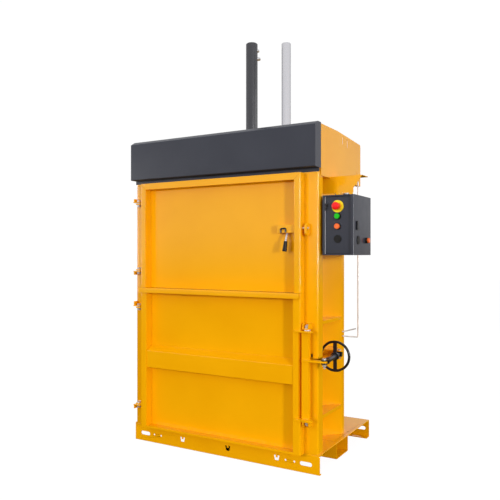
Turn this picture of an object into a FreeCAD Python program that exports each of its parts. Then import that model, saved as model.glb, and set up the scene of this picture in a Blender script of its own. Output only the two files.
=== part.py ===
import FreeCAD, Part
import Sketcher
import math
import os

# Vertical recycling baler. Millimetres, +Z up, front towards -Y.
# While it is drawn, Y = 0 is the front face of the posts and of the sill, X = 0 the middle of the
# machine and Z = 0 the floor. Every piece's placement then moves it back by origin_back, so that the
# origin lies under the middle base channel, on the floor.

V = FreeCAD.Vector
doc = FreeCAD.newDocument("baler")
sheet = doc.addObject("Spreadsheet::Sheet", "Sheet")

SIZES = [
    ("origin_back", 394.0),
    ("base_length", 1340.0), ("base_depth", 836.0), ("base_height", 115.0),
    ("floor_gauge", 5.0), ("channel_gauge", 4.0),
    ("sill_lip", 23.0), ("mid_channel_front", 300.0), ("mid_channel_back", 488.0), ("mid_channel_length", 1300.0),
    ("rear_flange", 54.0),
    ("post_span", 1322.0), ("post_opening", 1104.0), ("post_depth", 66.0), ("post_top", 1705.0), ("post_gauge", 4.0),
    ("wall_span", 1070.0), ("wall_gauge", 3.0), ("wall_front", 30.0), ("wall_back", 620.0), ("wall_top", 1685.0),
    ("column_front", 350.0), ("column_mid", 440.0), ("column_back", 487.0), ("column_span", 1254.0), ("column_top", 1758.0),
    ("rib_span", 1258.0), ("rib_gauge", 4.0), ("rib_lip", 20.0),
    ("hood_span", 1332.0), ("hood_gauge", 3.0), ("hood_top", 1979.0), ("hood_back_top", 1955.5), ("hood_back", 673.0),
    ("header_proud", 52.0), ("header_bottom", 1728.0), ("header_top", 1985.0), ("header_side", 27.0),
    ("header_chamfer", 22.0), ("header_gauge", 3.0),
    ("beam_bottom", 1758.0), ("beam_top", 1900.0), ("beam_gauge", 8.0), ("beam_gap_front", 361.0), ("beam_gap_back", 440.0),
    ("ram_back", 400.5), ("barrel_radius", 39.3), ("barrel_bore", 32.0), ("barrel_bottom", 1773.0), ("barrel_top", 2657.0),
    ("rod_radius", 22.0), ("piston_radius", 31.9), ("guide_radius", 30.5), ("guide_offset", 259.0), ("guide_top", 2613.0),
    ("press_width", 1030.0), ("press_front", 42.0), ("press_rear", 606.0), ("press_bottom", 1712.0), ("press_gauge", 10.0),
    ("press_rib_top", 1750.0),
    ("door_span", 1154.0), ("door_proud", 58.0), ("door_gap", 2.0), ("recess_depth", 55.0), ("door_gauge", 3.0),
    ("upper_stile", 39.0), ("lower_stile", 47.0), ("upper_bottom", 1022.5), ("upper_top", 1700.0),
    ("lower_bottom", 113.0), ("lower_top", 1017.0), ("lower_rail", 12.0),
    ("notch_side", 548.0), ("notch_low", 320.0), ("notch_high", 806.0),
    ("ledge_proud", 75.0), ("ledge_drop", 30.0), ("ledge_gauge", 4.0),
    ("cross_bottom", 504.0), ("cross_top", 613.0), ("cross_back_top", 646.5), ("cross_proud", 53.0),
    ("hinge_offset", 612.0), ("hinge_proud", 32.0), ("pivot_radius", 8.0), ("ear_gauge", 7.0),
    ("lock_offset", 607.0), ("lock_proud", 30.0), ("lock_tube_offset", 601.0), ("lock_tube_proud", 33.0), ("lock_tube_width", 42.0), ("lock_tube_depth", 28.0),
    ("claw_top", 814.0), ("claw_bottom", 312.0), ("claw_gauge", 8.0),
    ("arm_level", 646.0), ("arm_gauge", 10.0), ("arm_tip_side", 711.0), ("arm_tip_proud", 30.0), ("arm_hole", 11.8),
    ("anchor_side", 679.0), ("anchor_back", 267.0), ("spindle_radius", 15.0), ("thread_radius", 8.0),
    ("wheel_radius", 84.0), ("wheel_bar", 7.6), ("wheel_reach", 88.3),
    ("box_left", 677.0), ("box_right", 863.0), ("box_front", 18.0), ("box_back", 303.0), ("box_bottom", 1235.5),
    ("box_top", 1570.0), ("box_gauge", 2.0),
    ("rim_left", 692.5), ("rim_right", 845.0), ("rim_low", 1243.0), ("rim_high", 1562.5), ("rim_depth", 14.0), ("panel_front", 29.0), ("panel_gauge", 2.5),
    ("button_side", 765.5), ("estop_level", 1507.0), ("green_level", 1452.0), ("orange_level", 1396.0),
    ("blank_level", 1326.0), ("button_radius", 15.0), ("estop_radius", 21.5), ("disc_radius", 34.5),
    ("latch_level", 1387.6), ("latch_rod_radius", 6.0), ("latch_rod_proud", 28.0),
    ("hook_wire", 4.4), ("hook_side", 690.0), ("hook_back", 561.5),
]
VAL = {}
for row, (alias, value) in enumerate(SIZES, start=1):
    sheet.set("A%d" % row, alias)
    sheet.set("B%d" % row, "%g" % value)
    sheet.setAlias("B%d" % row, alias)
    VAL[alias] = float(value)
doc.recompute()


class Q:
    """A size that is a sum of sheet cells times factors, plus a number."""

    def __init__(self, terms, const=0.0):
        self.terms = dict((k, c) for k, c in terms.items() if abs(c) > 1e-12)
        self.const = float(const)

    def __add__(self, o):
        if not isinstance(o, Q):
            return Q(self.terms, self.const + o)
        t = dict(self.terms)
        for k, c in o.terms.items():
            t[k] = t.get(k, 0.0) + c
        return Q(t, self.const + o.const)

    __radd__ = __add__

    def __mul__(self, f):
        return Q(dict((k, c * f) for k, c in self.terms.items()), self.const * f)

    __rmul__ = __mul__

    def __truediv__(self, f):
        return self * (1.0 / f)

    def __neg__(self):
        return self * -1.0

    def __sub__(self, o):
        return self + (-o)

    def __rsub__(self, o):
        return (-self) + o


def q(alias):
    if alias not in VAL:
        raise RuntimeError("no such cell: " + alias)
    return Q({alias: 1.0})


def num(x):
    if isinstance(x, Q):
        return sum(VAL[k] * c for k, c in x.terms.items()) + x.const
    return float(x)


def text(x):
    """The expression for a size, or None when it is a plain number."""
    if not isinstance(x, Q) or not x.terms:
        return None
    out = " + ".join("Sheet.%s * (%.9g)" % (k, c) for k, c in sorted(x.terms.items()))
    return out + " + (%.9g)" % x.const


def bind(obj, prop, x):
    e = text(x)
    if e:
        obj.setExpression(prop, e)


NODES = []
COUNT = [0]


def fresh(prefix):
    COUNT[0] += 1
    return "%s_%d" % (prefix, COUNT[0])


# ---------------------------------------------------------------- sketches
def rect(a0, b0, a1, b1):
    return ("poly", [(a0, b0), (a1, b0), (a1, b1), (a0, b1)])


def poly(*pts):
    return ("poly", list(pts))


def circle(a, b, r):
    return ("circle", a, b, r)


def slot(a, b, length, width, upright=False):
    return ("slot", a, b, length, width, upright)


def place_point(sk, geo, pos, a, b):
    for kind, x, axis in (("DistanceX", a, -2), ("DistanceY", b, -1)):
        if abs(num(x)) < 1e-9 and not text(x):
            sk.addConstraint(Sketcher.Constraint("PointOnObject", geo, pos, axis))
        else:
            i = sk.addConstraint(Sketcher.Constraint(kind, -1, 1, geo, pos, num(x)))
            bind(sk, "Constraints[%d]" % i, x)


def draw(sk, wires):
    for w in wires:
        if w[0] == "poly":
            pts = w[1]
            first = sk.GeometryCount
            n = len(pts)
            for i in range(n):
                p, r = pts[i], pts[(i + 1) % n]
                sk.addGeometry(Part.LineSegment(V(num(p[0]), num(p[1]), 0), V(num(r[0]), num(r[1]), 0)), False)
            for i in range(n):
                sk.addConstraint(Sketcher.Constraint("Coincident", first + i, 2, first + (i + 1) % n, 1))
            for i in range(n):
                place_point(sk, first + i, 1, pts[i][0], pts[i][1])
        elif w[0] == "circle":
            g = sk.addGeometry(Part.Circle(V(num(w[1]), num(w[2]), 0), V(0, 0, 1), num(w[3])), False)
            place_point(sk, g, 3, w[1], w[2])
            i = sk.addConstraint(Sketcher.Constraint("Radius", g, num(w[3])))
            bind(sk, "Constraints[%d]" % i, w[3])
        else:
            _, a, b, length, width, upright = w
            a0, b0, r, half = num(a), num(b), num(width) / 2, (num(length) - num(width)) / 2
            pi = math.pi
            if upright:
                g1 = sk.addGeometry(Part.LineSegment(V(a0 + r, b0 - half, 0), V(a0 + r, b0 + half, 0)), False)
                g2 = sk.addGeometry(Part.ArcOfCircle(Part.Circle(V(a0, b0 + half, 0), V(0, 0, 1), r), 0, pi), False)
                g3 = sk.addGeometry(Part.LineSegment(V(a0 - r, b0 + half, 0), V(a0 - r, b0 - half, 0)), False)
                g4 = sk.addGeometry(Part.ArcOfCircle(Part.Circle(V(a0, b0 - half, 0), V(0, 0, 1), r), pi, 2 * pi), False)
                c2, c4 = (a, b + (length - width) / 2.0), (a, b - (length - width) / 2.0)
            else:
                g1 = sk.addGeometry(Part.LineSegment(V(a0 - half, b0 - r, 0), V(a0 + half, b0 - r, 0)), False)
                g2 = sk.addGeometry(Part.ArcOfCircle(Part.Circle(V(a0 + half, b0, 0), V(0, 0, 1), r), -pi / 2, pi / 2), False)
                g3 = sk.addGeometry(Part.LineSegment(V(a0 + half, b0 + r, 0), V(a0 - half, b0 + r, 0)), False)
                g4 = sk.addGeometry(Part.ArcOfCircle(Part.Circle(V(a0 - half, b0, 0), V(0, 0, 1), r), pi / 2, 3 * pi / 2), False)
                c2, c4 = (a + (length - width) / 2.0, b), (a - (length - width) / 2.0, b)
            for m, k in ((g1, g2), (g2, g3), (g3, g4), (g4, g1)):
                sk.addConstraint(Sketcher.Constraint("Tangent", m, 2, k, 1))
            place_point(sk, g2, 3, c2[0], c2[1])
            place_point(sk, g4, 3, c4[0], c4[1])
            for g in (g2, g4):
                i = sk.addConstraint(Sketcher.Constraint("Radius", g, r))
                bind(sk, "Constraints[%d]" % i, width / 2.0)


SIDE = {"XY": 1.0, "XZ": -1.0, "YZ": 1.0}


def body_sketch(body, plane, at, wires):
    sk = body.newObject("Sketcher::SketchObject", fresh(body.Name + "_outline"))
    role = plane + "_Plane"
    support = [f for f in body.Origin.OriginFeatures if f.Role == role][0]
    sk.AttachmentSupport = [(support, "")]
    sk.MapMode = "FlatFace"
    off = at * SIDE[plane]
    sk.AttachmentOffset = FreeCAD.Placement(V(0, 0, num(off)), FreeCAD.Rotation())
    bind(sk, "AttachmentOffset.Base.z", off)
    draw(sk, wires)
    return sk


class Piece:
    """A PartDesign body drawn by pads and pockets that run from one coordinate to a larger one."""

    def __init__(self, node):
        self.node = node
        self.body = doc.addObject("PartDesign::Body", node)
        self.body.Label = node

    def _step(self, kind, plane, a, b, wires, word):
        sk = body_sketch(self.body, plane, a, wires)
        f = self.body.newObject(kind, fresh(self.node + word))
        f.Profile = sk
        f.Length = num(b) - num(a)
        bind(f, "Length", (b if isinstance(b, Q) else Q({}, b)) - a)
        f.Refine = True
        return f

    def pad(self, plane, a, b, *wires):
        f = self._step("PartDesign::Pad", plane, a, b, wires, "_pad")
        f.Reversed = plane == "XZ"
        return self

    def pocket(self, plane, a, b, *wires):
        before = self.volume()
        f = self._step("PartDesign::Pocket", plane, a, b, wires, "_pocket")
        f.Reversed = plane != "XZ"
        after = self.volume()
        if not after < before - 0.5:
            raise RuntimeError("a pocket of %s cut nothing: %g %g" % (self.node, before, after))
        return self

    def volume(self):
        doc.recompute()
        return self.body.Tip.Shape.Volume

    def turn(self, plane, at, *wires):
        sk = body_sketch(self.body, plane, at, wires)
        f = self.body.newObject("PartDesign::Revolution", fresh(self.node + "_turn"))
        f.Profile = sk
        f.ReferenceAxis = (sk, ["V_Axis"])
        f.Angle = 360.0
        return self

    def round(self, axis, radius, *spots):
        """Rounds the straight edges along axis (0, 1 or 2) that stand at the given pairs of the other two coordinates."""
        doc.recompute()
        tip = self.body.Tip
        shape = tip.Shape
        rest = [i for i in range(3) if i != axis]
        names = []
        for n, e in enumerate(shape.Edges, start=1):
            if e.Curve.TypeId != "Part::GeomLine" or len(e.Vertexes) != 2:
                continue
            p, r = e.Vertexes[0].Point, e.Vertexes[1].Point
            if any(abs(p[i] - r[i]) > 1e-4 for i in rest):
                continue
            for s in spots:
                if abs(p[rest[0]] - num(s[0])) < 1e-3 and abs(p[rest[1]] - num(s[1])) < 1e-3:
                    names.append("Edge%d" % n)
                    break
        if not names:
            raise RuntimeError("no edge to round on " + self.node)
        f = self.body.newObject("PartDesign::Fillet", fresh(self.node + "_fold"))
        f.Base = (tip, names)
        f.Radius = num(radius)
        bind(f, "Radius", radius)
        return self

    def done(self, where=None):
        finish(self.body, self.node, where)
        return self


def finish(obj, node, where=None):
    """Labels a piece, places it, and puts it on the list of pieces to write."""
    obj.Label = node
    if where is None:
        obj.Placement = FreeCAD.Placement(V(0, -VAL["origin_back"], 0), FreeCAD.Rotation())
        bind(obj, "Placement.Base.y", -q("origin_back"))
    else:
        x, y, z, angle = where
        obj.Placement = FreeCAD.Placement(V(num(x), num(y) - VAL["origin_back"], num(z)), FreeCAD.Rotation(V(0, 0, 1), angle))
        for axis, value in (("x", x), ("y", y - q("origin_back")), ("z", z)):
            bind(obj, "Placement.Base." + axis, value)
    NODES.append((node, obj))
    return obj


# ---------------------------------------------------------------- primitives
def box(x0, y0, z0, x1, y1, z1):
    o = doc.addObject("Part::Box", fresh("block"))
    for prop, a, b in (("Length", x0, x1), ("Width", y0, y1), ("Height", z0, z1)):
        d = (b if isinstance(b, Q) else Q({}, b)) - a
        setattr(o, prop, num(d))
        bind(o, prop, d)
    o.Placement = FreeCAD.Placement(V(num(x0), num(y0), num(z0)), FreeCAD.Rotation())
    for axis, value in (("x", x0), ("y", y0), ("z", z0)):
        bind(o, "Placement.Base." + axis, value)
    return o


TURN = {
    "x": FreeCAD.Rotation(V(0, 1, 0), 90),
    "y": FreeCAD.Rotation(V(1, 0, 0), -90),
    "z": FreeCAD.Rotation(),
}


def _lay(o, axis, x, y, z, r, a, b, prop):
    d = (b if isinstance(b, Q) else Q({}, b)) - a
    setattr(o, prop, num(r))
    bind(o, prop, r)
    o.Height = num(d)
    bind(o, "Height", d)
    base = {"x": (a, y, z), "y": (x, a, z), "z": (x, y, a)}[axis]
    o.Placement = FreeCAD.Placement(V(*[num(c) for c in base]), TURN[axis])
    for name, value in zip("xyz", base):
        bind(o, "Placement.Base." + name, value)
    return o


def cyl(axis, x, y, z, r, a, b):
    """A round bar along axis from a to b. The coordinate along its own axis is not read."""
    return _lay(doc.addObject("Part::Cylinder", fresh("bar")), axis, x, y, z, r, a, b, "Radius")


def hexa(axis, x, y, z, flats, a, b):
    o = doc.addObject("Part::Prism", fresh("hexagon"))
    o.Polygon = 6
    return _lay(o, axis, x, y, z, flats / 2.0 / math.cos(math.pi / 6), a, b, "Circumradius")


def prism(plane, a, b, *wires):
    """A straight solid between a and b over an outline drawn on XY, XZ or YZ."""
    sk = doc.addObject("Sketcher::SketchObject", fresh("outline"))
    rot = {
        "XY": FreeCAD.Rotation(),
        "XZ": FreeCAD.Rotation(V(1, 0, 0), 90),
        "YZ": FreeCAD.Rotation(V(1, 0, 0), V(0, 1, 0), V(0, 0, 1), "ZXY"),
    }[plane]
    if plane == "YZ":
        rot = FreeCAD.Rotation(V(0, 1, 0), V(0, 0, 1), V(1, 0, 0), "XYZ")
    axis = {"XY": V(0, 0, 1), "XZ": V(0, 1, 0), "YZ": V(1, 0, 0)}[plane]
    sk.Placement = FreeCAD.Placement(axis * num(a), rot)
    bind(sk, "Placement.Base." + {"XY": "z", "XZ": "y", "YZ": "x"}[plane], a)
    draw(sk, wires)
    o = doc.addObject("Part::Extrusion", fresh("prism"))
    o.Base = sk
    o.DirMode = "Custom"
    o.Dir = axis
    d = (b if isinstance(b, Q) else Q({}, b)) - a
    o.LengthFwd = num(d)
    bind(o, "LengthFwd", d)
    o.Solid = True
    return o


def fuse(*parts):
    o = doc.addObject("Part::MultiFuse", fresh("joined"))
    o.Shapes = list(parts)
    o.Refine = True
    return o


def cut(base, *tools):
    for tool in tools:
        o = doc.addObject("Part::Cut", fresh("cut"))
        o.Base, o.Tool = base, tool
        base = o
    return base


def group(*parts):
    o = doc.addObject("Part::Compound", fresh("set"))
    o.Links = list(parts)
    return o


def pipe(points, radius, bend, node):
    """A round wire along straight runs joined by tangent arcs."""
    pts = [V(*[num(c) for c in p]) for p in points]
    edges, here = [], pts[0]
    for i in range(1, len(pts) - 1):
        a, b = (pts[i - 1] - pts[i]).normalize(), (pts[i + 1] - pts[i]).normalize()
        half = a.getAngle(b) / 2
        back = bend / math.tan(half)
        p, r = pts[i] + a * back, pts[i] + b * back
        centre = pts[i] + (a + b).normalize() * (bend / math.sin(half))
        mid = centre + (pts[i] - centre).normalize() * bend
        edges.append(Part.LineSegment(here, p).toShape())
        edges.append(Part.Arc(p, mid, r).toShape())
        here = r
    edges.append(Part.LineSegment(here, pts[-1]).toShape())
    spine = Part.Wire(edges)
    ring = Part.Wire([Part.Circle(pts[0], pts[1] - pts[0], radius).toShape()])
    solid = Part.Wire(spine).makePipeShell([ring], True, False, 2)
    want = math.pi * radius ** 2 * spine.Length
    if abs(solid.Volume - want) > 0.02 * want:
        raise RuntimeError("pipe %s has volume %g, expected %g" % (node, solid.Volume, want))
    o = doc.addObject("Part::Feature", fresh("wire"))
    o.Shape = solid
    return o


# ---------------------------------------------------------------- base
half_base = q("base_length") / 2
under = q("base_height") - q("floor_gauge")
g = q("floor_gauge")


def strap_hole(x, z):
    """Crown-shaped guide for the tying strap: a tongue hangs into a tapered opening between two relief slits."""
    return poly((x - 19, z + 15), (x - 8, z + 15), (x - 8, z + 20), (x - 6, z + 20), (x - 6, z + 2), (x + 6, z + 2),
                (x + 6, z + 20), (x + 8, z + 20), (x + 8, z + 15), (x + 19, z + 15), (x + 12.5, z - 15), (x - 12.5, z - 15))


p = Piece("base_sill")
p.pad("YZ", -half_base, half_base, poly((0, 0), (q("sill_lip"), 0), (q("sill_lip"), g), (g, g), (g, under - g),
                                        (45, under - g), (45, under), (0, under)))
p.pocket("XZ", -1, g + 1, slot(-584, 52, 76, 24), slot(584, 52, 76, 24), circle(-455, 53, 6), circle(-511, 53, 6),
         circle(455, 53, 6), circle(511, 53, 6), strap_hole(-281, 56), strap_hole(60, 56), strap_hole(397, 56))
p.round(0, 4.0, (0, 0), (0, under))
p.done()

c = q("channel_gauge")
f0, f1 = q("mid_channel_front"), q("mid_channel_back")
p = Piece("base_channel_mid")
p.pad("YZ", -q("mid_channel_length") / 2, q("mid_channel_length") / 2,
      poly((f0, 0), (f1, 0), (f1, under), (f1 - c, under), (f1 - c, c), (f0 + c, c), (f0 + c, under), (f0, under)))
p.round(0, 5.0, (f0, 0), (f1, 0))
p.done()

d = q("base_depth")
p = Piece("base_channel_rear")
p.pad("YZ", -half_base, half_base,
      poly((d - q("rear_flange"), 0), (d, 0), (d, under), (d - 40, under), (d - 40, under - c), (d - c, under - c), (d - c, c),
           (d - q("rear_flange"), c)))
p.pocket("XZ", d - c - 1, d + 1, slot(-607, 55, 76, 24), slot(607, 55, 76, 24))
p.pocket("XY", -1, c + 1, slot(-590, d - 30, 70, 14), slot(590, d - 30, 70, 14))
p.round(0, 5.0, (d, 0), (d, under))
p.done()

p = Piece("floor_plate")
p.pad("XY", under, q("base_height"), rect(-half_base, 0, half_base, d))
p.pocket("XY", under - 1, q("base_height") + 1,
         *[circle(s * x, y, 3) for s in (-1, 1) for x, y in ((643, 275), (643, 512), (643, 686), (541, 767), (576, 594))])
p.done()

# ---------------------------------------------------------------- posts, walls and columns
po, pi_, pd, pg = q("post_span") / 2, q("post_opening") / 2, q("post_depth"), q("post_gauge")
for s, node in ((-1, "post_left"), (1, "post_right")):
    p = Piece(node)
    p.pad("XY", q("base_height"), q("post_top"), rect(pi_ * s, 0, po * s, pd), rect((pi_ + pg) * s, pg, (po - pg) * s, pd - pg))
    p.round(2, 9.0, (po * s, 0))
    p.round(2, 5.0, (pi_ * s, 0), (po * s, pd))
    if s > 0:
        # room for the lock arm to swing in, and the upright slot above it
        p.pocket("XZ", -1, 46, rect(606, q("arm_level") - 7, po + 5, q("arm_level") + 7))
        p.pocket("XZ", -1, pg + 1, slot(622, 669, 26, 10, True))
    p.done()

wo, wg = q("wall_span") / 2, q("wall_gauge")
for s, node in ((-1, "side_wall_left"), (1, "side_wall_right")):
    p = Piece(node)
    p.pad("XY", q("base_height"), q("wall_top"),
          poly(((wo - wg) * s, q("wall_front")), (pi_ * s, q("wall_front")), (pi_ * s, q("wall_front") + wg),
               (wo * s, q("wall_front") + wg), (wo * s, q("wall_back")), ((wo - wg) * s, q("wall_back"))))
    p.done()

p = Piece("rear_wall")
p.pad("XY", q("base_height"), 1700, rect(-wo, q("wall_back"), wo, q("wall_back") + wg))
p.pocket("XZ", q("wall_back") - 1, q("wall_back") + wg + 1, *[slot(x, 480, 520, 26, True) for x in (-281, 60, 397)])
p.done()

cf, cm, cb, co = q("column_front"), q("column_mid"), q("column_back"), q("column_span") / 2
for s, node in ((-1, "rear_column_left"), (1, "rear_column_right")):
    p = Piece(node)
    p.pad("XY", q("base_height"), q("column_top"),
          poly((wo * s, cf), (co * s, cm), (co * s, cb), (wo * s, cb)),
          poly(((wo + 4) * s, cf + 9.5), ((co - 4) * s, cm + 1.7), ((co - 4) * s, cb - 4), ((wo + 4) * s, cb - 4)))
    p.round(2, 6.0, (co * s, cm), (co * s, cb))
    p.done()

ribs = []
ro, rg = q("rib_span") / 2, q("rib_gauge")
for s in (-1, 1):
    for top in (304.0, 852.0, 1420.0):
        plate = prism("XY", top - rg, top, poly((wo * s, pd), (ro * s, pd), (ro * s, cm - 1), (wo * s, cf - 2)))
        lip = prism("XY", top - q("rib_lip"), top - rg, rect((ro - rg) * s, pd, ro * s, cm - 6))
        ribs.append(fuse(plate, lip))
for low in (130.0, 800.0, 1180.0, 1560.0):
    y0 = q("wall_back") + wg
    ribs.append(prism("YZ", -wo + 5, wo - 5, poly((y0, low), (y0 + 27, low), (y0 + 27, low + 60), (y0, low + 60), (y0, low + 57),
                                                  (y0 + 24, low + 57), (y0 + 24, low + 3), (y0, low + 3))))
finish(group(*ribs), "wall_ribs")

# anchor of the lock spindle: two plates from the side wall with a web between them
ax, ay, az = q("anchor_side"), q("anchor_back"), q("arm_level")


def anchor_plate(z0, z1):
    outline = poly((wo, 266), (640, 266), (662, 257), (697, 257), (705, 267), (697, 283), (655, 330), (600, 409), (wo, cf - 3))
    return cut(prism("XY", z0, z1, outline), cyl("z", ax, ay, 0, 6.05, z0 - 1, z1 + 1))


web = prism("XZ", 296, 302, poly((wo, 560), (552, 560), (640, az - 20), (640, az + 15), (wo, az + 15)))
finish(fuse(anchor_plate(az + 14.5, az + 20.5), anchor_plate(az - 20.5, az - 14.5), web), "lock_anchor")

# ---------------------------------------------------------------- hood and header
ho, hg = q("hood_span") / 2, q("hood_gauge")
for s, node in ((-1, "hood_side_left"), (1, "hood_side_right")):
    lo, hi = ((ho - hg), ho) if s > 0 else (-ho, -(ho - hg))
    p = Piece(node)
    hf = q("header_side") + 1
    p.pad("YZ", lo, hi, poly((hf, q("wall_top")), (q("hood_back"), q("wall_top")), (q("hood_back"), q("hood_back_top")),
                             (276, q("hood_top")), (hf, q("hood_top"))))
    p.round(0, 16.0, (q("hood_back"), q("hood_back_top")))
    inner = (ho - 26, ho - hg) if s > 0 else (-(ho - hg), -(ho - 26))
    p.pad("YZ", inner[0], inner[1], rect(pd + 2, q("wall_top"), q("hood_back"), q("wall_top") + hg))
    p.pocket("YZ", lo - 1, hi + 1, slot(361, 1935, 48, 11, True), slot(440, 1926, 48, 11, True), slot(601, 1762, 16, 7, True))
    p.done()

hp, hb, ht, hs, hc, hh = (q("header_proud"), q("header_bottom"), q("header_top"), q("header_side"), q("header_chamfer"),
                          q("header_gauge"))
p = Piece("header_cover")
p.pad("YZ", -ho, ho, poly((hs, hb), (hs, ht), (-14, ht), (-hp, ht - hc), (-hp, hb)))
p.pad("YZ", -ho, ho, rect(0, q("post_top"), 3, hb))
p.pocket("YZ", -ho + hh, ho - hh, poly((hs + 1, hb - 1), (hs + 1, ht - hh), (-13.2, ht - hh), (-hp + hh, ht - hc - 1.7),
                                       (-hp + hh, hb + hh), (3, hb + hh), (3, hb - 1)))
p.round(0, 5.0, (-hp, hb), (-hp, ht - hc), (-14, ht))
p.done()

p = Piece("header_beam")
p.pad("YZ", -po + 1, po - 1, rect(6, q("post_top"), 34, 1800), rect(10, q("post_top") + 4, 30, 1796))
p.done()

# ---------------------------------------------------------------- beams that carry the cylinder
bb, bt, bg = q("beam_bottom"), q("beam_top"), q("beam_gauge")
g0, g1, ram = q("beam_gap_front"), q("beam_gap_back"), q("ram_back")
mount = cut(box(-85, g0, bb, 85, g1, q("barrel_bottom")), cyl("z", 0, ram, 0, q("rod_radius") + 0.5, bb - 1, q("barrel_bottom") + 1))
finish(group(prism("XZ", g0 - bg, g0, rect(-655, bb, 655, bt)), prism("XZ", g1, g1 + bg, rect(-655, bb, 655, bt)), mount),
       "cross_beams")

zb, zt, rb = q("barrel_bottom"), q("barrel_top"), q("barrel_radius")
p = Piece("cylinder_barrel")
p.turn("XZ", ram, poly((q("rod_radius") + 0.1, zb), (rb, zb), (rb, zt - 5), (rb - 5, zt), (0, zt), (0, zt - 35), (q("barrel_bore"), zt - 35),
                       (q("barrel_bore"), zb + 42), (q("rod_radius") + 0.1, zb + 42)))
p.done()


def port(z, reach, r):
    """A threaded boss that stands out of the barrel, turned a little to the back, with a hexagon and a stub."""
    a = math.radians(28)
    skin = VAL["barrel_radius"]
    parts = []
    for kind, rr, s0, s1 in (("c", r, skin - 4, skin + reach * 0.5), ("h", r * 0.92, skin + reach * 0.4, skin + reach * 0.8),
                             ("c", r * 0.66, skin, skin + reach)):
        o = doc.addObject("Part::Cylinder" if kind == "c" else "Part::Prism", fresh("port"))
        if kind == "c":
            o.Radius = rr
        else:
            o.Polygon = 6
            o.Circumradius = rr
        o.Height = s1 - s0
        o.Placement = FreeCAD.Placement(V(math.cos(a) * s0, VAL["ram_back"] + math.sin(a) * s0, z),
                                        FreeCAD.Rotation(V(0, 0, 1), V(math.cos(a), math.sin(a), 0)))
        parts.append(o)
    return cut(fuse(*parts), cyl("z", 0, ram, 0, rb, z - 40, z + 40))


finish(group(port(2608, 11, 11), port(2554, 20, 12)), "cylinder_ports")

gx, gr = q("guide_offset"), q("guide_radius")
bush = fuse(cyl("z", gx, ram, 0, 39.2, bb, bt + 5), cyl("z", gx, ram, 0, 37, bt + 5, bt + 12))
finish(cut(bush, cyl("z", gx, ram, 0, gr + 0.1, bb - 1, bt + 13)), "guide_bush")

tank = cut(box(-560, 36, 1765, -200, 352, 1925), box(-557, 39, 1768, -203, 349, 1922))
finish(fuse(tank, box(-540, 20, 1800, -500, 36, 1806), box(-260, 20, 1800, -220, 36, 1806), cyl("z", -500, 120, 0, 30, 1925, 1945),
            cyl("z", -260, 280, 0, 12, 1925, 1940)), "oil_tank")
finish(fuse(cyl("x", 0, 205, 1850, 70, -199.5, -180), cyl("x", 0, 205, 1850, 60, -180, 20), cyl("x", 0, 205, 1850, 63, 20, 62),
            box(-130, 160, 1900, -30, 250, 1938)), "pump_motor")

# ---------------------------------------------------------------- press
pw = q("press_width") / 2
pb, pr = q("press_bottom"), q("press_rib_top")
plate = box(-pw, q("press_front"), pb, pw, q("press_rear"), pb + q("press_gauge"))
finish(fuse(plate, box(-pw + 5, ram - 38, pb + q("press_gauge"), pw - 5, ram + 38, pr),
            box(-pw + 5, 60, pb + q("press_gauge"), -pw + 25, 590, pr - 10), box(pw - 25, 60, pb + q("press_gauge"), pw - 5, 590, pr - 10),
            box(-pw + 5, 70, pb + q("press_gauge"), pw - 5, 90, pr - 10), box(-pw + 5, 560, pb + q("press_gauge"), pw - 5, 580, pr - 10)),
       "press_plate")
p = Piece("piston_rod")
p.turn("XZ", ram, poly((0, pr), (36, pr), (36, pr + 7), (q("rod_radius"), pr + 7), (q("rod_radius"), 2560),
                       (q("piston_radius"), 2560), (q("piston_radius"), 2610), (0, 2610)))
p.done()
gt = q("guide_top")
finish(fuse(cyl("z", gx, ram, 0, gr, pr, gt - 3), cyl("z", gx, ram, 0, gr - 3, gt - 3, gt)), "guide_rod")

# ---------------------------------------------------------------- doors
ds, dp, dg, dt = q("door_span") / 2, q("door_proud"), q("door_gap"), q("door_gauge")
back = q("recess_depth") - dp
hx, hy, vr = -q("hinge_offset"), -q("hinge_proud"), q("pivot_radius") + 0.1
LUGS = [(1580.0, 1606.0, -1), (1104.0, 1130.0, 1), (897.0, 929.0, -1), (219.0, 247.0, 1)]
EARS = [1567.0, 1134.0, 886.0, 251.0]


def pan(node, low, high, stile, rail_low, rail_high, keep_low, notch=None):
    """A door folded from sheet: a hollow frame, open at the back, round a sunk panel. The right stile may be set back
    between two heights, with a shelf at each end of the set-back."""
    p = Piece(node)
    p.pad("XZ", -dp, -dg, rect(-ds, low, ds, high))
    p.pad("XZ", -dg, back + dt, rect(-ds + stile - dt, low + keep_low, ds - stile + dt, high))
    p.pocket("XZ", -dp - 1, back, rect(-ds + stile, rail_low, ds - stile, rail_high))
    for s in (-1, 1):
        if notch and s > 0:
            side, z0, z1 = notch
            p.pocket("XZ", -dp + dt, -dg + 1,
                     poly((ds - stile + dt, low + 3), (ds - dt, low + 3), (ds - dt, z0 - dt), (side - dt, z0 - dt), (side - dt, z1 + dt),
                          (ds - dt, z1 + dt), (ds - dt, high - 3), (ds - stile + dt, high - 3)))
            p.pocket("XZ", -dp - 1, -dg + 1, rect(side, z0, ds + 1, z1))
        else:
            p.pocket("XZ", -dp + dt, -dg + 1, rect((ds - dt) * s, low + 3, (ds - stile + dt) * s, high - 3))
    return p


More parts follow.
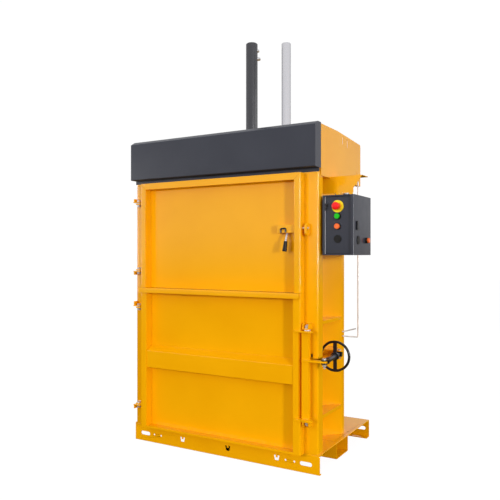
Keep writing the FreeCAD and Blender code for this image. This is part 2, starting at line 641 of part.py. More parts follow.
us = q("upper_stile")
ub, ut = q("upper_bottom"), q("upper_top")
p = pan("upper_door", ub, ut, us, ub - 1, ut - us, 0)
p.pocket("XZ", -dp + dt, -dg, rect(-ds + us - dt, ut - us + dt, ds - us + dt, ut - dt))
for z in EARS[:2]:
    p.pad("XY", z, z + q("ear_gauge"), poly((hx - 13, hy - 17), (-ds + 1, hy - 17), (-ds + 1, hy + 18), (hx - 13, hy + 18),
                                            (hx - 18, hy + 12), (hx - 18, hy - 11)), circle(hx, hy, vr))
p.pocket("YZ", ds - dt - 1, ds + 1, slot(-30, 1647, 23, 4, True), slot(-30, 1078, 23, 4, True), circle(-q("latch_rod_proud"), q("latch_level"), 6.6))
p.pocket("YZ", ds - us - 1, ds - us + dt + 1, circle(-q("latch_rod_proud"), q("latch_level"), 6.6))
p.round(2, 7.0, (ds, -dp), (-ds, -dp))
p.round(2, 2.0, (ds - us, -dp), (-ds + us, -dp))
p.done()

ls = q("lower_stile")
lb, lt = q("lower_bottom"), q("lower_top")
p = pan("lower_door", lb, lt, ls, lb + q("lower_rail"), lt - 3, 5, (q("notch_side"), q("notch_low"), q("notch_high")))
p.pocket("XY", lb - 1, lb + q("lower_rail") - dt, rect(-ds + ls, -dp + dt, ds - ls, -dg))
for z in EARS[2:]:
    p.pad("XY", z, z + q("ear_gauge"), poly((hx - 13, hy - 17), (-ds + 1, hy - 17), (-ds + 1, hy + 18), (hx - 13, hy + 18),
                                            (hx - 18, hy + 12), (hx - 18, hy - 11)), circle(hx, hy, vr))
p.pocket("YZ", ds - dt - 1, ds + 1, slot(-30, 961, 23, 4, True))
p.round(2, 7.0, (ds, -dp), (-ds, -dp))
p.round(2, 2.0, (ds - ls, -dp), (-ds + ls, -dp))
p.done()

lp, ld, lg = q("ledge_proud"), q("ledge_drop"), q("ledge_gauge")
p = Piece("door_ledge")
p.pad("YZ", -ds, ds - 2, poly((-lp, lt + lg - ld), (-lp + lg, lt + lg - ld), (-lp + lg, lt), (-dg, lt), (-dg, lt + lg), (-lp, lt + lg)))
p.pad("YZ", -ds + ls - dt, ds - ls + dt, rect(-dg, lt, back + dt, lt + lg))
p.round(0, 3.5, (-lp, lt + lg))
p.round(1, 12.0, (ds - 2, lt + lg - ld))
p.done()

cp = q("cross_proud")
p = Piece("door_beam")
p.pad("YZ", -ds + ls, ds - ls, poly((-cp, q("cross_bottom")), (-cp, q("cross_top")), (back, q("cross_back_top")), (back, q("cross_back_top") - 4.4),
                                    (-cp + 4, q("cross_top") - 2.6), (-cp + 4, q("cross_bottom") + 4), (back, q("cross_bottom") + 4),
                                    (back, q("cross_bottom"))))
p.round(0, 4.0, (-cp, q("cross_top")), (-cp, q("cross_bottom")))
p.done()

lugs = []
for z0, z1, side in LUGS:
    plate_z = (z0, z0 + 6) if side < 0 else (z1 - 6, z1)
    lug = fuse(box(-646, -5, z0, -585, 0, z1), box(-646, -50, plate_z[0], -586, -5, plate_z[1]), box(-646, -46, z0, -640, -5, z1))
    lugs.append(cut(lug, cyl("z", hx, hy, 0, vr, z0 - 1, z1 + 1)))
finish(group(*lugs), "door_hinge_lugs")

# ---------------------------------------------------------------- pivot bolts of the frame
vp = q("pivot_radius")
bolts = []
for (z0, z1, side), ear in zip(LUGS, EARS):
    top_e = ear + VAL["ear_gauge"]
    if side < 0:
        bolts.append(fuse(cyl("z", hx, hy, 0, vp, ear - 15, z0 + 18), hexa("z", hx, hy, 0, 24, z0 + 6, z0 + 18), cyl("z", hx, hy, 0, 14, top_e + 0.3, z0),
                          hexa("z", hx, hy, 0, 24, ear - 12.5, ear - 0.3)))
    else:
        bolts.append(fuse(cyl("z", hx, hy, 0, vp, z1 - 20, top_e + 12), hexa("z", hx, hy, 0, 24, top_e + 0.3, top_e + 12), cyl("z", hx, hy, 0, 14, z1, ear - 0.3),
                          hexa("z", hx, hy, 0, 24, z1 - 18.5, z1 - 6)))
kx, ky = q("lock_offset"), -q("lock_proud")
ct, cb2, cg = q("claw_top"), q("claw_bottom"), q("claw_gauge")
for level, s in ((ct, 1), (cb2, -1)):
    # a pivot that ends flush in the claw plate, with a washer under the lug, a nut and a rounded end over it
    runs = [(vp, -7.5, 31.0), (18.5, 0.4, 6.0), (vp - 1.5, 31.0, 33.0)]
    pieces = [cyl("z", kx, ky, 0, r, level + (a if s > 0 else -b), level + (b if s > 0 else -a)) for r, a, b in runs]
    pieces.append(hexa("z", kx, ky, 0, 24, level + (12 if s > 0 else -27), level + (27 if s > 0 else -12)))
    bolts.append(fuse(*pieces))
bolts.append(fuse(cyl("z", ax, ay, 0, 6, az + 9.5, az + 29), hexa("z", ax, ay, 0, 19, az + 20.5, az + 29)))
bolts.append(fuse(cyl("z", ax, ay, 0, 6, az - 29, az - 9.5), hexa("z", ax, ay, 0, 19, az - 29, az - 20.5)))
finish(group(*bolts), "frame_bolts")

# ---------------------------------------------------------------- upper door latch
zl = q("latch_level")
keeper = prism("YZ", 595.5, 609, poly((0, 1352), (-8, 1344), (-31, 1344), (-45, 1357), (-45, 1403), (-34, 1414), (-8, 1414), (0, 1406)))
finish(cut(keeper, cyl("x", 0, -q("latch_rod_proud"), zl, 7, 590, 612)), "latch_keeper")

# The bracket is a folded cover on the sunk panel, open below, so that the handle under it can slide with the rod.
p = Piece("latch_bracket")
p.pad("XZ", -40, back, rect(422, 1362, ds - us, 1409))
p.pocket("XZ", -37.5, back + 1, rect(424.5, 1361, ds - us + 1, 1406.5))
p.round(2, 3.0, (422, -40))
p.round(0, 3.0, (-40, 1409))
p.done()

finish(pipe([(448.5, -44.61, 1364), (448.5, -44.61, 1387.5), (479, -44.61, 1387.5), (479, -44.61, 1364)], 4.6, 7.0, "latch_staple"), "latch_staple")
rr = q("latch_rod_radius")
finish(fuse(cyl("x", 0, -q("latch_rod_proud"), zl, rr, 468, 612.5), cyl("x", 0, -q("latch_rod_proud"), zl, rr - 1.5, 612.5, 614)), "latch_rod")

lever = pipe([(480, -28, 1385), (480, -28, 1358), (482, -50, 1313)], 5.8, 16.0, "latch_lever")
finish(cut(lever, cyl("x", 0, -q("latch_rod_proud"), zl, rr, 460, 500)), "latch_lever")
grip = doc.addObject("Part::Cone", fresh("grip"))
grip.Radius1, grip.Radius2, grip.Height = 9.8, 13.0, 52.0
gdir = V(-4.5, -4, -48).normalize()
groot = V(481.9, -50, 1313)
grip.Placement = FreeCAD.Placement(groot - gdir * 2.0, FreeCAD.Rotation(V(0, 0, 1), gdir))
tip = doc.addObject("Part::Torus", fresh("tip"))
tip.Radius1, tip.Radius2 = 8.0, 5.0
tip.Placement = FreeCAD.Placement(groot + gdir * 52.0, FreeCAD.Rotation(V(0, 0, 1), gdir))
core = doc.addObject("Part::Cylinder", fresh("core"))
core.Radius, core.Height = 8.2, 12.0
core.Placement = FreeCAD.Placement(groot + gdir * 45.0, FreeCAD.Rotation(V(0, 0, 1), gdir))
finish(cut(fuse(grip, tip, core), lever), "latch_grip")

# ---------------------------------------------------------------- lower door lock
def lock_lug(z0, z1, plate0, plate1):
    front = (z1 - 10, z0) if plate0 == z0 else (z1, z0 + 10)
    cheek = [prism("YZ", x, x + 5, poly((-5, z0), (-5, z1), (-38, z1), (-50, front[0]), (-50, front[1]), (-38, z0))) for x in (584, 621)]
    lug = fuse(box(584, -5, z0, 626, 0, z1), box(589, -50, plate0, 621, -5, plate1), *cheek)
    return cut(lug, cyl("z", kx, ky, 0, vr, plate0 - 1, plate1 + 1))


finish(group(lock_lug(VAL["claw_top"] + 6, VAL["claw_top"] + 41, VAL["claw_top"] + 6, VAL["claw_top"] + 12),
             lock_lug(VAL["claw_bottom"] - 41, VAL["claw_bottom"] - 6, VAL["claw_bottom"] - 12, VAL["claw_bottom"] - 6)), "lock_lugs")

tw, td = q("lock_tube_width") / 2, q("lock_tube_depth") / 2
tx, ty = q("lock_tube_offset"), -q("lock_tube_proud")
tube = prism("XY", cb2 + cg, ct - cg, rect(tx - tw, ty - td, tx + tw, ty + td), rect(tx - tw + 4, ty - td + 4, tx + tw - 4, ty + td - 4))

claw = [(545, -61.5), (545, -72), (548, -75), (646, -75), (653, -68), (653, -52), (628, -15), (586, -19), (584, -61.5)]
bx, by, aw = q("arm_tip_side"), -q("arm_tip_proud"), q("arm_gauge") / 2
arm = prism("XY", az - aw, az + aw, poly((584, -56), (690, -52), (711, -47), (724, -41), (728, -30), (724, -19), (711, -13), (690, -13),
                                         (tx + tw, -13), (tx + tw, ty - td), (584, ty - td)))
finish(fuse(tube, cut(prism("XY", ct - cg, ct, poly(*claw)), cyl("z", kx, ky, 0, vr, 700, 900)),
            cut(prism("XY", cb2, cb2 + cg, poly(*claw)), cyl("z", kx, ky, 0, vr, 200, 400)),
            cut(arm, cyl("z", bx, by, 0, q("arm_hole"), az - 20, az + 20))), "locking_bar")

# The spindle parts are drawn along +X from the anchor bolt and then turned to point at the arm's tip.
reach = math.hypot(VAL["arm_tip_side"] - VAL["anchor_side"], VAL["anchor_back"] + VAL["arm_tip_proud"])
turned = math.degrees(math.atan2(-VAL["arm_tip_proud"] - VAL["anchor_back"], VAL["arm_tip_side"] - VAL["anchor_side"]))
spot = (ax, ay, az, turned)
ears = [fuse(box(268, -19, z, reach, 19, z + 6), cyl("z", reach, 0, 0, 19, z, z + 6)) for z in (6.0, -12.0)]
fork = fuse(ears[0], ears[1], box(262, -19, -12, 274, 19, 12), cyl("x", 0, 0, 0, 15, 250, 262))
finish(cut(fork, cyl("z", reach, 0, 0, 6.05, -20, 20), cyl("x", 0, 0, 0, 7.1, 249, 261)), "arm_fork", spot)
finish(fuse(cyl("z", reach, 0, 0, 6, -37, 12.5), hexa("z", reach, 0, 0, 19, 12.2, 21), hexa("z", reach, 0, 0, 19, -25, -12.2)), "fork_bolt", spot)
sr, tr = q("spindle_radius"), q("thread_radius")
finish(fuse(cyl("x", 0, 0, 0, tr, -24, 82), cyl("x", 0, 0, 0, sr, 82, 249.6), cyl("x", 0, 0, 0, 7, 249.6, 260), cyl("x", 0, 0, 0, 17.5, 238, 247)), "lock_spindle", spot)
wr, wb, wx = q("wheel_radius"), q("wheel_bar"), q("wheel_reach")
ring = doc.addObject("Part::Torus", fresh("ring"))
ring.Radius1, ring.Radius2 = num(wr), num(wb)
bind(ring, "Radius1", wr)
bind(ring, "Radius2", wb)
ring.Placement = FreeCAD.Placement(V(num(wx), 0, 0), FreeCAD.Rotation(V(0, 1, 0), 90))
wheel = fuse(ring, cyl("x", 0, 0, 0, 24.5, 82.5, 102), box(wx - 4, -10.5, -82, wx + 4, 10.5, 82))
finish(cut(wheel, cyl("x", 0, 0, 0, sr + 0.1, 70, 110)), "handwheel", spot)
trunnion = cut(box(-11, -18, -14, 11, 18, 14), cyl("x", 0, 0, 0, tr + 0.1, -20, 20), cyl("z", 0, 0, 0, 6.1, -20, 20))
finish(trunnion, "trunnion", spot)

# ---------------------------------------------------------------- control box and its bracket
p = Piece("control_bracket")
p.pad("YZ", ho, 858, poly((270, 1692), (270, 1689), (168, 1689), (153, 1619), (153, 1592), (150, 1592), (150, 1619), (165, 1692)))
p.pad("YZ", wo, ho, poly((150, 1592), (153, 1592), (153, 1619), (166.2, 1684.5), (163.2, 1684.5), (150, 1619)))
p.pocket("XZ", 140, 280, poly((811, 1580), (811, 1619), (858.5, 1692.5), (870, 1692.5), (870, 1580)))
for x in (706, 786):
    p.pad("YZ", x, x + 22, poly((150, 1593), (150, q("box_top")), (172, q("box_top")), (172, q("box_top") + 3), (153, q("box_top") + 3), (153, 1593)))
p.done()

bl, br, bf, bk, bo, bh, bq = (q("box_left"), q("box_right"), q("box_front"), q("box_back"), q("box_bottom"), q("box_top"), q("box_gauge"))
rl, rr_, rlo, rhi, rdp, pf, pgauge = (q("rim_left"), q("rim_right"), q("rim_low"), q("rim_high"), q("rim_depth"), q("panel_front"),
                                      q("panel_gauge"))
p = Piece("control_box")
p.pad("XY", bo, bh, rect(bl, bf, br, bk))
p.round(2, 5.5, (bl, bf), (br, bf), (bl, bk), (br, bk))
p.pad("YZ", po, bl + 1, rect(54, 1260, 61, 1550))
p.pocket("XZ", bf + bq, bk - bq, rect(bl + bq, bo + bq, br - bq, bh - bq))
# the front opening has a rim folded inwards all round it
p.pad("XZ", bf + bq - 0.5, bf + rdp, rect(rl - 1.5, rlo - 1.5, rr_ + 1.5, rhi + 1.5), rect(rl, rlo, rr_, rhi))
p.pocket("XZ", bf - 1, bf + rdp + 1, rect(rl, rlo, rr_, rhi))
p.done()

bs, le, lgn, lo_, lbk = q("button_side"), q("estop_level"), q("green_level"), q("orange_level"), q("blank_level")
p = Piece("box_door")
p.pad("XZ", pf, pf + pgauge, rect(rl + 1.2, rlo + 1.2, rr_ - 1.2, rhi - 1.2))
p.pocket("XZ", pf - 1, pf + pgauge + 1, circle(bs, le, 11.5), circle(bs, lgn, 7.1), circle(bs, lo_, 7.1))
p.done()

nx, ny = rl + 4.5, bf + 3.5
finish(fuse(cyl("z", nx, ny, 0, 3.5, 1486, 1505), box(rl, ny - 1.5, 1486, nx, ny + 1.5, 1505)), "box_hinges")
finish(fuse(cyl("z", nx, ny, 0, 3.5, 1505.3, 1524), box(nx, ny - 1.5, 1505.3, nx + 3, pf, 1524), box(nx, pf - 1.5, 1505.3, nx + 13, pf, 1524)),
       "box_door_hinges")
finish(cut(cyl("y", bs, 0, le, q("disc_radius"), 25, pf), cyl("y", bs, 0, le, 11.5, 20, 30)), "estop_disc")


def collar(z):
    return cut(cyl("y", bs, 0, z, 18.5, 20, pf), cyl("y", bs, 0, z, q("button_radius") + 0.1, 15, 30))


finish(group(collar(lgn), collar(lo_), fuse(cyl("y", bs, 0, lbk, 22.5, 26, pf), cyl("y", bs, 0, lbk, 19, 24.5, 26))), "button_collars")
p = Piece("estop_button")
er = q("estop_radius")
head = [(0, 0), (11.4, 0), (11.4, 9.4), (20, 9.4), (20.4, 22), (er, 31), (er, 39), (er - 2.5, 43.5), (er - 8, 46), (0, 47)]
p.turn("XY", 0, poly(*head))
finish(p.body, "estop_button")
p.body.Placement = FreeCAD.Placement(V(VAL["button_side"], 30 - VAL["origin_back"], VAL["estop_level"]), FreeCAD.Rotation(V(0, 0, 1), 180))
bind(p.body, "Placement.Base.y", -q("origin_back") + 30)
bind(p.body, "Placement.Base.x", bs)
bind(p.body, "Placement.Base.z", le)


def cap(node, z):
    rr = q("button_radius")
    finish(fuse(cyl("y", bs, 0, z, rr, 11.5, 24), cyl("y", bs, 0, z, rr - 1.5, 10, 11.5), cyl("y", bs, 0, z, 7, 24, 42)), node)


cap("green_button", lgn)
cap("orange_button", lo_)
finish(group(cut(cyl("x", 0, 216, 1319.5, 16.5, br, br + 12), cyl("x", 0, 216, 1319.5, 14.3, br + 4, br + 13)),
             fuse(cyl("x", 0, 87, 1319.5, 24.5, br, br + 2.5), cyl("x", 0, 87, 1319.5, 20, br + 2.5, br + 3.5))), "side_fittings")
finish(fuse(cyl("x", 0, 216, 1319.5, 14.2, br + 7.5, br + 20), cyl("x", 0, 216, 1319.5, 12.7, br + 20, br + 21.5)), "side_button")
finish(fuse(cyl("x", 0, 66, 1414, 11.5, br, br + 8), box(br + 1, 56, 1376, br + 8, 76, 1414), box(br + 1, 56, 1376, br + 8, 92, 1387)), "box_latch")
glands = []
for gx0 in (690.0, 741.0, 771.0):
    glands.append(fuse(hexa("z", gx0, 205, 0, 26, bh, bh + 8), cyl("z", gx0, 205, 0, 13, bh + 8, bh + 23), cyl("z", gx0, 205, 0, 9, bh + 23, bh + 26)))
finish(group(*glands), "cable_glands")

# ---------------------------------------------------------------- wire hook beside the hood
hsd, hbk = q("hook_side"), q("hook_back")
hw = VAL["hook_wire"]
finish(group(pipe([(666, hbk, 1703), (hsd, hbk, 1703), (hsd, hbk, 712), (634.5, 450, 727.5), (co, 450, 727.5)], hw, 7.0, "strap_hook"),
             pipe([(co, 450, 755.5), (634.5, 450, 755.5), (660, 597.6, 759.8)], hw, 7.0, "strap_hook_end")), "strap_hook")

# ---------------------------------------------------------------- checks and export
doc.recompute()
bad = []
for obj in doc.Objects:
    if "Invalid" in obj.State or "Error" in obj.State:
        bad.append("%s (%s) %s" % (obj.Name, obj.TypeId, obj.State))
seen = set()
for node, obj in NODES:
    if node in seen:
        bad.append("two pieces are named " + node)
    seen.add(node)
    shape = obj.Shape
    if shape.isNull() or not shape.isValid() or not shape.Solids:
        bad.append("%s: shape null, invalid or without a solid" % node)
if len(NODES) > 60:
    bad.append("%d pieces, more than 60" % len(NODES))
if bad:
    raise RuntimeError("; ".join(bad))
os.makedirs("parts", exist_ok=True)
for node, obj in NODES:
    obj.Shape.exportStep("parts/%s.step" % node)
print("%d pieces written" % len(NODES))
print("spindle reach %.2f mm, turned %.3f degrees" % (reach, turned))
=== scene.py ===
import math

import bmesh
import bpy
from mathutils import Matrix, Vector


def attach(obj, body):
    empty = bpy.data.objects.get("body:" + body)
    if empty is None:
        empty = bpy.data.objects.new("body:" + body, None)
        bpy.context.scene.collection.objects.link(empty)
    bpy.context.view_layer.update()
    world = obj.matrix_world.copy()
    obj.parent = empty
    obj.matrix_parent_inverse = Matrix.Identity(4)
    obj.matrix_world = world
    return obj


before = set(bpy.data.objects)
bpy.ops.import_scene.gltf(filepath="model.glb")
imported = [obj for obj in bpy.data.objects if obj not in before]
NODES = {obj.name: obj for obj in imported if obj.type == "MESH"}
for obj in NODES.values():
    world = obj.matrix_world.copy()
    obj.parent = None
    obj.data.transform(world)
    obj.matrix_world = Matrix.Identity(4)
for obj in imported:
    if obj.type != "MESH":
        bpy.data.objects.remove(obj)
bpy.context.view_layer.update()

BACK = 0.394  # the origin lies this far behind the posts' front plane


def at(x, y, z):
    """A point given in millimetres from the posts' front plane, in the frame's metres."""
    return Vector((x / 1000.0, y / 1000.0 - BACK, z / 1000.0))


# ------------------------------------------------------------------ materials
def lin(r, g, b):
    """A colour read as 0-255 screen values, as linear light."""
    out = []
    for c in (r, g, b):
        c = c / 255.0
        out.append(c / 12.92 if c <= 0.04045 else ((c + 0.055) / 1.055) ** 2.4)
    return (out[0], out[1], out[2], 1.0)


class Mat:
    """A principled material whose colour, roughness and bump come from noise in the object's own coordinates."""

    def __init__(self, name):
        self.m = bpy.data.materials.new(name)
        self.m.use_nodes = True
        self.t = self.m.node_tree
        self.b = self.t.nodes["Principled BSDF"]
        self.coord = self.t.nodes.new("ShaderNodeTexCoord")
        self.height = None

    def set(self, **values):
        for k, v in values.items():
            self.b.inputs[k.replace("_", " ")].default_value = v
        return self

    def noise(self, scale, detail=3.0, rough=0.5, stretch=(1, 1, 1)):
        mp = self.t.nodes.new("ShaderNodeMapping")
        mp.inputs["Scale"].default_value = stretch
        self.t.links.new(self.coord.outputs["Object"], mp.inputs["Vector"])
        n = self.t.nodes.new("ShaderNodeTexNoise")
        n.inputs["Scale"].default_value = scale
        n.inputs["Detail"].default_value = detail
        n.inputs["Roughness"].default_value = rough
        self.t.links.new(mp.outputs["Vector"], n.inputs["Vector"])
        return n.outputs["Fac"]

    def ramp(self, fac, stops):
        r = self.t.nodes.new("ShaderNodeValToRGB")
        els = r.color_ramp.elements
        while len(els) > len(stops):
            els.remove(els[-1])
        while len(els) < len(stops):
            els.new(1.0)
        for e, (p, c) in zip(els, stops):
            e.position = p
            e.color = c
        self.t.links.new(fac, r.inputs["Fac"])
        return r.outputs["Color"]

    def spread(self, fac, lo, hi, a=0.3, b=0.7):
        n = self.t.nodes.new("ShaderNodeMapRange")
        for k, v in (("From Min", a), ("From Max", b), ("To Min", lo), ("To Max", hi)):
            n.inputs[k].default_value = v
        self.t.links.new(fac, n.inputs["Value"])
        return n.outputs["Result"]

    def colour(self, socket):
        self.t.links.new(socket, self.b.inputs["Base Color"])
        return self

    def roughness(self, socket):
        self.t.links.new(socket, self.b.inputs["Roughness"])
        return self

    def bump(self, fac, strength, distance, coat=False):
        n = self.t.nodes.new("ShaderNodeBump")
        n.inputs["Strength"].default_value = strength
        n.inputs["Distance"].default_value = distance
        self.t.links.new(fac, n.inputs["Height"])
        if self.height is not None:
            self.t.links.new(self.height, n.inputs["Normal"])
        self.height = n.outputs["Normal"]
        self.t.links.new(self.height, self.b.inputs["Normal"])
        if coat:
            self.t.links.new(self.height, self.b.inputs["Coat Normal"])
        return self


def varied(m, colour, deep, pale, scale=3.0):
    """Colour that drifts a little between a deeper and a paler tone."""
    return m.ramp(m.noise(scale, 4.0), [(0.25, deep), (0.5, colour), (0.78, pale)])


def paint(name, colour, deep, pale, rough=(0.30, 0.42), coat=0.0, coat_rough=0.10, grain=900.0, depth=0.00006, spec=0.5):
    m = Mat(name)
    m.set(Metallic=0.0, Coat_Weight=coat, Coat_Roughness=coat_rough, Coat_IOR=1.5, Specular_IOR_Level=spec)
    m.colour(varied(m, colour, deep, pale))
    m.roughness(m.spread(m.noise(14.0, 5.0), rough[0], rough[1]))
    m.bump(m.noise(grain, 2.0, 0.4), 0.25, depth, coat=True)
    m.bump(m.noise(9.0, 2.0), 0.08, 0.0004)
    return m.m


ORANGE = paint("orange_powder_paint", lin(247, 175, 4), lin(243, 170, 2), lin(251, 179, 6), rough=(0.40, 0.50), coat=0.95, coat_rough=0.12, depth=0.00003, spec=0.0)
SEAM = paint("orange_paint_in_seams", lin(196, 122, 3), lin(186, 112, 2), lin(206, 130, 4), rough=(0.45, 0.55), coat=0.4, coat_rough=0.2, spec=0.0)
GREY = paint("slate_powder_paint", lin(54, 57, 68), lin(50, 53, 64), lin(58, 61, 72), rough=(0.32, 0.40), coat=0.38, coat_rough=0.14, grain=1400.0, depth=0.00006, spec=0.15)
TANK = paint("tank_paint", lin(56, 58, 64), lin(51, 53, 58), lin(62, 64, 70), rough=(0.45, 0.6), spec=0.3)
BARREL = paint("barrel_paint", lin(53, 54, 60), lin(49, 50, 56), lin(57, 58, 64), rough=(0.22, 0.28), coat=0.36, coat_rough=0.08, grain=500.0, depth=0.00002)
BLACK = paint("black_enamel", lin(24, 24, 29), lin(20, 20, 25), lin(30, 30, 35), rough=(0.28, 0.40), coat=0.10, coat_rough=0.15, grain=1200.0, spec=0.4)


def metal(name, colour, worn, rough=(0.2, 0.35), stretch=(1, 1, 1), grain=260.0, metallic=1.0, lift=0.12):
    m = Mat(name)
    m.set(Metallic=metallic)
    m.colour(m.ramp(m.noise(40.0, 5.0, 0.6, stretch), [(0.3, worn), (0.62, colour)]))
    m.roughness(m.spread(m.noise(grain, 4.0, 0.6, stretch), rough[0], rough[1]))
    m.bump(m.noise(grain * 3, 2.0, 0.5, stretch), lift, 0.00004)
    return m.m


ZINC = metal("zinc_plated_steel", lin(246, 247, 250), lin(222, 223, 228), (0.22, 0.36), metallic=0.72)
CHROME = metal("hard_chrome", lin(218, 218, 222), lin(212, 212, 217), (0.14, 0.18), (1, 1, 0.04), 120.0, metallic=0.75, lift=0.02)


def threaded(name, colour, worn):
    """Blued steel whose bump turns into a 5 mm screw thread on the thin end of the spindle."""
    m = Mat(name)
    m.set(Metallic=0.85)
    along = Vector((32.0, -297.0, 0.0)).normalized()
    start = at(679, 267, 646).dot(along)

    def math_node(kind, a, b):
        n = m.t.nodes.new("ShaderNodeMath")
        n.operation = kind
        for i, v in enumerate((a, b)):
            if v is None:
                continue
            if isinstance(v, float):
                n.inputs[i].default_value = v
            else:
                m.t.links.new(v, n.inputs[i])
        return n.outputs["Value"]

    dot = m.t.nodes.new("ShaderNodeVectorMath")
    dot.operation = "DOT_PRODUCT"
    dot.inputs[1].default_value = along
    m.t.links.new(m.coord.outputs["Object"], dot.inputs[0])
    s = math_node("SUBTRACT", dot.outputs["Value"], start)
    wave = math_node("SINE", math_node("MULTIPLY", s, 2.0 * math.pi / 0.005), None)
    mask = math_node("LESS_THAN", s, 0.0815)
    height = math_node("MULTIPLY", wave, mask)
    m.colour(m.ramp(m.noise(40.0, 5.0, 0.6, (6, 6, 1)), [(0.3, worn), (0.62, colour)]))
    m.roughness(m.spread(m.noise(200.0, 4.0, 0.6, (6, 6, 1)), 0.25, 0.38))
    m.bump(m.noise(600.0, 2.0, 0.5, (6, 6, 1)), 0.12, 0.00004)
    m.bump(height, 1.0, 0.0007)
    return m.m


SPINDLE = threaded("blued_steel", lin(96, 96, 105), lin(74, 74, 83))

WIRE = metal("galvanised_wire", lin(232, 226, 222), lin(212, 204, 198), (0.30, 0.45), (1, 1, 0.2), 240.0, metallic=0.3)


def plastic(name, colour, deep, rough=(0.3, 0.42), grain=1500.0, depth=0.00004, coat=0.0, spec=0.35):
    m = Mat(name)
    m.set(Metallic=0.0, Coat_Weight=coat, Coat_Roughness=0.08, Specular_IOR_Level=spec)
    m.colour(m.ramp(m.noise(60.0, 3.0), [(0.3, deep), (0.65, colour)]))
    m.roughness(m.spread(m.noise(90.0, 4.0), rough[0], rough[1]))
    m.bump(m.noise(grain, 2.0), 0.2, depth)
    return m.m


RED = plastic("red_mushroom", lin(252, 28, 32), lin(244, 20, 24), (0.26, 0.34), coat=0.2)
YELLOW = plastic("yellow_disc", lin(254, 232, 42), lin(248, 222, 32), (0.35, 0.45))
GREEN = plastic("green_cap", lin(26, 206, 28), lin(20, 192, 24), (0.34, 0.42), coat=0.05)
AMBER = plastic("orange_cap", lin(255, 122, 52), lin(250, 108, 42), (0.22, 0.3), coat=0.3)
DARK = plastic("black_moulding", lin(22, 23, 25), lin(16, 17, 19), (0.5, 0.6))
PALE = plastic("pale_nylon", lin(206, 208, 214), lin(190, 192, 198), (0.4, 0.5))

WEAR = {}
for names, mat, width in (
    ("base_sill base_channel_mid base_channel_rear floor_plate side_wall_left side_wall_right rear_wall lock_anchor "
     "hood_side_left hood_side_right cross_beams guide_bush press_plate upper_door lower_door door_ledge door_beam door_hinge_lugs "
     "latch_keeper latch_bracket lock_lugs locking_bar control_bracket", ORANGE, 0.0012),
    ("post_left post_right rear_column_left rear_column_right header_beam", ORANGE, 0.0012),
    ("wall_ribs", ORANGE, 0.0018),
    ("header_cover control_box box_door", GREY, 0.0008),
    ("oil_tank pump_motor", TANK, 0.0012),
    ("cylinder_barrel", BARREL, 0.0010),
    ("latch_staple arm_fork handwheel trunnion box_hinges box_door_hinges box_latch", BLACK, 0.0010),
    ("cylinder_ports frame_bolts latch_rod latch_lever fork_bolt", ZINC, 0.0007),
    ("strap_hook", WIRE, 0.0),
    ("lock_spindle", SPINDLE, 0.0007),
    ("piston_rod guide_rod", CHROME, 0.0010),
    ("latch_grip button_collars side_fittings", DARK, 0.0006),
    ("cable_glands", PALE, 0.0006),
    ("estop_disc", YELLOW, 0.0004),
    ("estop_button", RED, 0.0008),
    ("green_button", GREEN, 0.0006),
    ("orange_button side_button", AMBER, 0.0006),
):
    for n in names.split():
        WEAR[n] = (mat, width)


def dress(o, mat, width):
    """Gives a CAD node its material, smooth curves, welded seams and rounded edges that catch the light."""
    me = o.data
    me.materials.clear()
    me.materials.append(mat)
    if "custom_normal" in me.attributes:
        me.attributes.remove(me.attributes["custom_normal"])
    me.polygons.foreach_set("use_smooth", [True] * len(me.polygons))
    me.set_sharp_from_angle(angle=math.radians(28))
    w = o.modifiers.new("seams", "WELD")
    w.merge_threshold = 0.00001
    if width > 0:
        b = o.modifiers.new("edges", "BEVEL")
        b.width = width
        b.segments = 2
        b.limit_method = "ANGLE"
        b.angle_limit = math.radians(30)
        b.use_clamp_overlap = True
        b.harden_normals = True
        b.miter_outer = "MITER_ARC"


for n, o in NODES.items():
    mat, width = WEAR[n]
    dress(o, mat, width)


# ------------------------------------------------------------------ small pieces the solids leave out
def piece(name, verts, faces, mat, body, smooth=True, sharp=40.0):
    """A mesh given in millimetres from the posts' front plane, that moves with one body."""
    me = bpy.data.meshes.new(name)
    me.from_pydata([at(*v) for v in verts], [], faces)
    me.validate()
    bm = bmesh.new()
    bm.from_mesh(me)
    bmesh.ops.recalc_face_normals(bm, faces=bm.faces)
    bm.to_mesh(me)
    bm.free()
    me.materials.append(mat)
    me.polygons.foreach_set("use_smooth", [smooth] * len(me.polygons))
    if smooth:
        me.set_sharp_from_angle(angle=math.radians(sharp))
    o = bpy.data.objects.new(name, me)
    bpy.context.scene.collection.objects.link(o)
    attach(o, body)
    return o


def tube(verts, faces, a, b, radius, ripple=0.16, step=3.2, sides=8):
    """Adds one weld bead from a to b: a round cord with the ripple of the weld pool and closed ends."""
    a, b = Vector(a), Vector(b)
    d = (b - a).normalized()
    u = d.orthogonal().normalized()
    v = d.cross(u)
    n = max(2, int((b - a).length / step))
    base = len(verts)
    for i in range(n + 1):
        r = radius * (1.0 - ripple + ripple * math.cos(i * 2.6 + (a.x + a.z) * 0.37))
        if i in (0, n):
            r *= 0.45
        c = a.lerp(b, i / n)
        for k in range(sides):
            t = 2 * math.pi * k / sides
            verts.append(tuple(c + u * (r * math.cos(t)) + v * (r * math.sin(t))))
    for i in range(n):
        for k in range(sides):
            p, q = base + i * sides + k, base + i * sides + (k + 1) % sides
            faces.append((p, q, q + sides, p + sides))
    faces.append(tuple(base + k for k in range(sides)))
    faces.append(tuple(base + n * sides + k for k in reversed(range(sides))))


def beads(name, runs, radius, body):
    verts, faces = [], []
    for a, b in runs:
        tube(verts, faces, a, b, radius)
    return piece(name, verts, faces, ORANGE, body, sharp=80.0)


def stitch(a, b, on=38.0, off=82.0):
    """Short welds set out evenly between two points."""
    a, b = Vector(a), Vector(b)
    length = (b - a).length
    count = max(1, int((length + off) // (on + off)))
    gap = (length - count * on) / (count + 1)
    d = (b - a).normalized()
    return [(tuple(a + d * (gap + i * (on + gap))), tuple(a + d * (gap + i * (on + gap) + on))) for i in range(count)]


